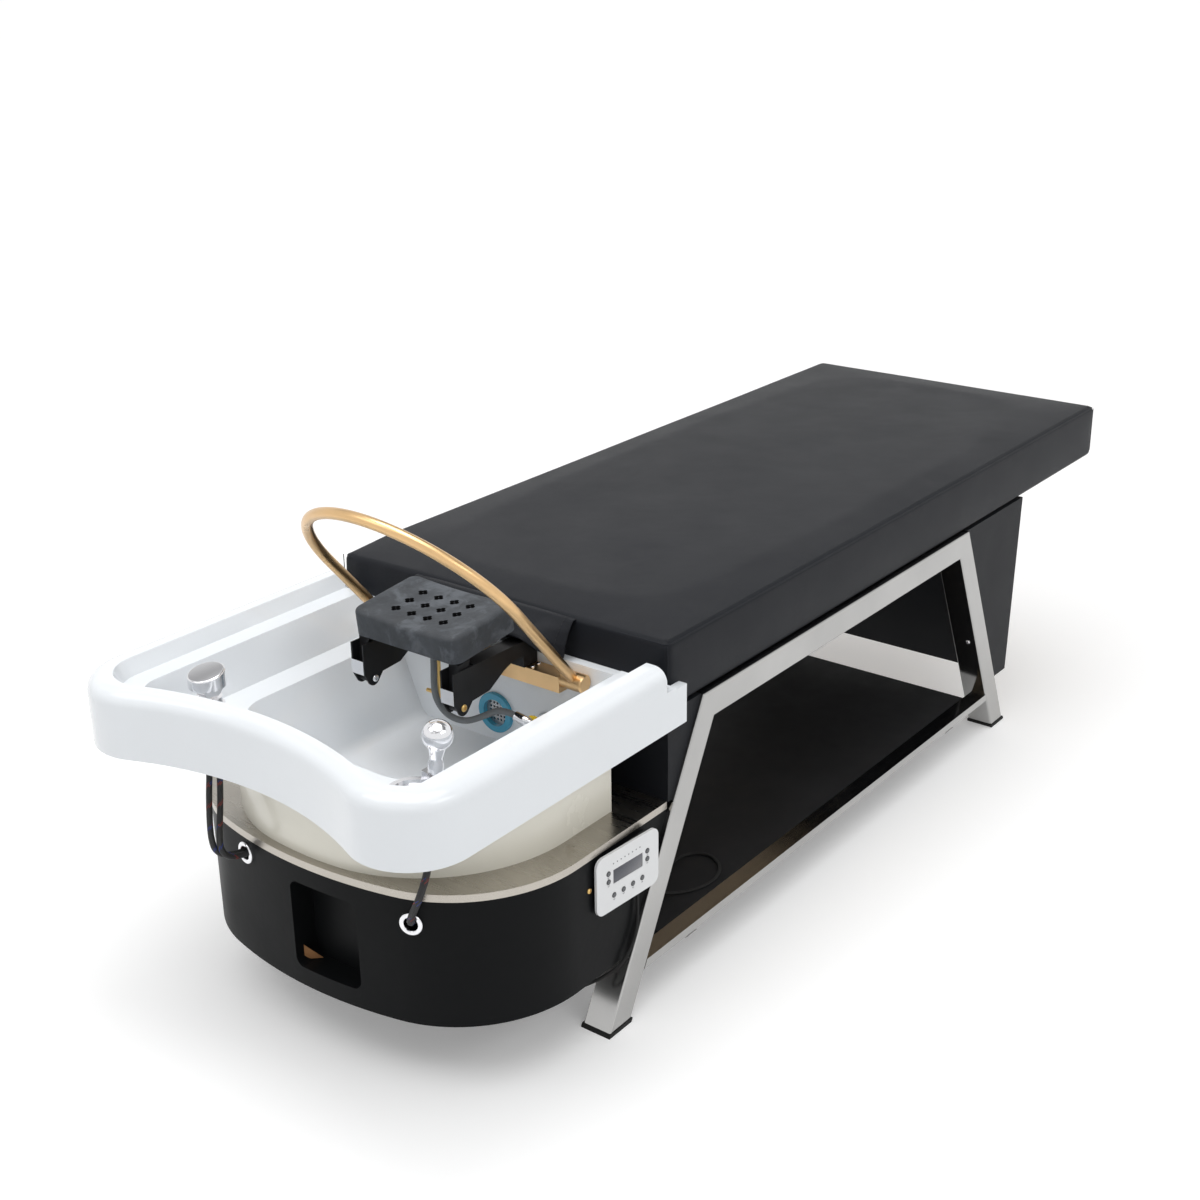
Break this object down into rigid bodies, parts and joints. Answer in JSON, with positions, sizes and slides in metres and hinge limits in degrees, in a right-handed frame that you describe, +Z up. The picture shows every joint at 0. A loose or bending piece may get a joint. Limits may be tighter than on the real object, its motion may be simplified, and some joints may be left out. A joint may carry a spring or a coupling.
{
  "type": "hair washing bed",
  "caption": "Flat upholstered bed on slanted tube legs with a moulded wash basin, swing arch, tilting headrest, mixer and hand shower at the head end over a tank",
  "frame": {"origin": "on the floor under the middle of the object's box", "axes": "X along the bed from the basin to the foot end, Y across it, Z up"},
  "size_m": [2.0449, 0.68, 0.78],
  "materials": {
    "stainless_steel": "polished stainless tube",
    "tray_steel": "rolled stainless sheet",
    "black_upholstery": "black imitation leather",
    "plywood": "raw plywood",
    "black_board": "black covered board",
    "black_rubber": "matt black rubber",
    "black_shell": "satin black coating",
    "black_plastic": "matt black plastic",
    "white_moulding": "glossy white moulding",
    "cream_moulding": "glossy cream moulding",
    "chrome": "polished chrome",
    "blue_plastic": "glossy blue plastic",
    "mesh_steel": "stainless sheet",
    "grey_plastic": "grey plastic pipe",
    "grey_metal": "grey paint",
    "braided_hose": "black braided sleeve with coloured flecks",
    "grey_hose": "smooth grey hose",
    "gold_metal": "satin gold coating",
    "black_metal": "satin black paint",
    "foam_rubber": "matt dark grey foam rubber",
    "brass": "bare brass",
    "white_panel": "glossy white film",
    "display_glass": "dark display window",
    "button_plastic": "pale grey buttons"
  },
  "bodies": {
    "bed": {"top_rail_near": "stainless_steel", "top_rail_far": "stainless_steel", "front_leg_near": "stainless_steel", "front_leg_far": "stainless_steel", "rear_leg_near": "stainless_steel", "rear_leg_far": "stainless_steel", "lower_rail_near": "stainless_steel", "lower_rail_far": "stainless_steel", "cross_tubes": "stainless_steel", "steel_tray": "tray_steel", "cushion": "black_upholstery", "head_box": "black_upholstery", "foot_box": "black_upholstery", "neck_flap": "black_upholstery", "seat_board": "plywood", "lower_shelf": "black_board", "foot_caps": "black_rubber", "shelf_cable": "black_rubber", "panel_cable": "black_rubber", "tank_shell": "black_shell", "tank_base": "black_shell", "panel_housing": "black_plastic", "basin": "white_moulding", "basin_skirt": "cream_moulding", "hose_grommets": "chrome", "mixer_body": "chrome", "shower_ring": "chrome", "arm_clips": "chrome", "bracket_screws": "chrome", "feed_elbow": "chrome", "heater_unit": "mesh_steel", "waste_pipe": "grey_plastic", "circulation_pump": "grey_metal", "supply_hoses": "braided_hose", "shower_hose": "braided_hose", "feed_hose": "grey_hose", "arch_beam": "gold_metal", "headrest_arms": "black_metal", "panel_face": "white_panel", "panel_display": "display_glass"},
    "arch": {"arch_hubs": "gold_metal", "arch_tube": "gold_metal"},
    "headrest": {"headrest_pad": "foam_rubber", "headrest_base": "black_metal", "feed_ferrule": "chrome", "valve_stem": "brass"},
    "mixer_neck": {"mixer_cartridge": "chrome"},
    "mixer_handle": {"mixer_lever": "chrome"},
    "hand_shower": {"shower_head": "chrome", "shower_coupling": "chrome"},
    "strainer": {"strainer_ring": "blue_plastic", "strainer_mesh": "mesh_steel"},
    "key_1": {"button_1": "button_plastic"},
    "key_2": {"button_2": "button_plastic"},
    "key_3": {"button_3": "button_plastic"},
    "key_4": {"button_4": "button_plastic"},
    "key_5": {"button_5": "button_plastic"},
    "key_6": {"button_6": "button_plastic"},
    "key_7": {"button_7": "button_plastic"},
    "key_8": {"button_8": "button_plastic"}
  },
  "joints": [
    {"name": "arch_swing", "type": "hinge", "parent": "bed", "child": "arch", "pos_m": [-0.5215, 0, 0.4875], "axis": [0, 1, 0], "range_deg": [-30, 42]},
    {"name": "headrest_tilt", "type": "hinge", "parent": "bed", "child": "headrest", "pos_m": [-0.6725, 0, 0.48], "axis": [0, 1, 0], "range_deg": [-12, 5], "deforming": ["feed_hose"]},
    {"name": "mixer_swivel", "type": "hinge", "parent": "bed", "child": "mixer_neck", "pos_m": [-0.9085, 0.162, 0.506], "axis": [0, 0, 1], "range_deg": [-50, 50]},
    {"name": "mixer_lift", "type": "hinge", "parent": "mixer_neck", "child": "mixer_handle", "pos_m": [-0.9085, 0.162, 0.5333], "axis": [0, 1, 0], "range_deg": [0, 18]},
    {"name": "shower_pull", "type": "slide", "parent": "bed", "child": "hand_shower", "axis": [0, -0.1392, 0.9903], "range_m": [0, 0.15], "deforming": ["shower_hose"]},
    {"name": "strainer_pull", "type": "slide", "parent": "bed", "child": "strainer", "axis": [-1, 0, 0], "range_m": [0, 0.03]},
    {"name": "key_1_press", "type": "slide", "parent": "bed", "child": "key_1", "axis": [0.0698, 0.9976, 0], "range_m": [0, 0.0008], "stiffness_N_per_m": 200},
    {"name": "key_2_press", "type": "slide", "parent": "bed", "child": "key_2", "axis": [0.0698, 0.9976, 0], "range_m": [0, 0.0008], "stiffness_N_per_m": 200},
    {"name": "key_3_press", "type": "slide", "parent": "bed", "child": "key_3", "axis": [0.0698, 0.9976, 0], "range_m": [0, 0.0008], "stiffness_N_per_m": 200},
    {"name": "key_4_press", "type": "slide", "parent": "bed", "child": "key_4", "axis": [0.0698, 0.9976, 0], "range_m": [0, 0.0008], "stiffness_N_per_m": 200},
    {"name": "key_5_press", "type": "slide", "parent": "bed", "child": "key_5", "axis": [0.0698, 0.9976, 0], "range_m": [0, 0.0008], "stiffness_N_per_m": 200},
    {"name": "key_6_press", "type": "slide", "parent": "bed", "child": "key_6", "axis": [0.0698, 0.9976, 0], "range_m": [0, 0.0008], "stiffness_N_per_m": 200},
    {"name": "key_7_press", "type": "slide", "parent": "bed", "child": "key_7", "axis": [0.0698, 0.9976, 0], "range_m": [0, 0.0008], "stiffness_N_per_m": 200},
    {"name": "key_8_press", "type": "slide", "parent": "bed", "child": "key_8", "axis": [0.0698, 0.9976, 0], "range_m": [0, 0.0008], "stiffness_N_per_m": 200}
  ]
}
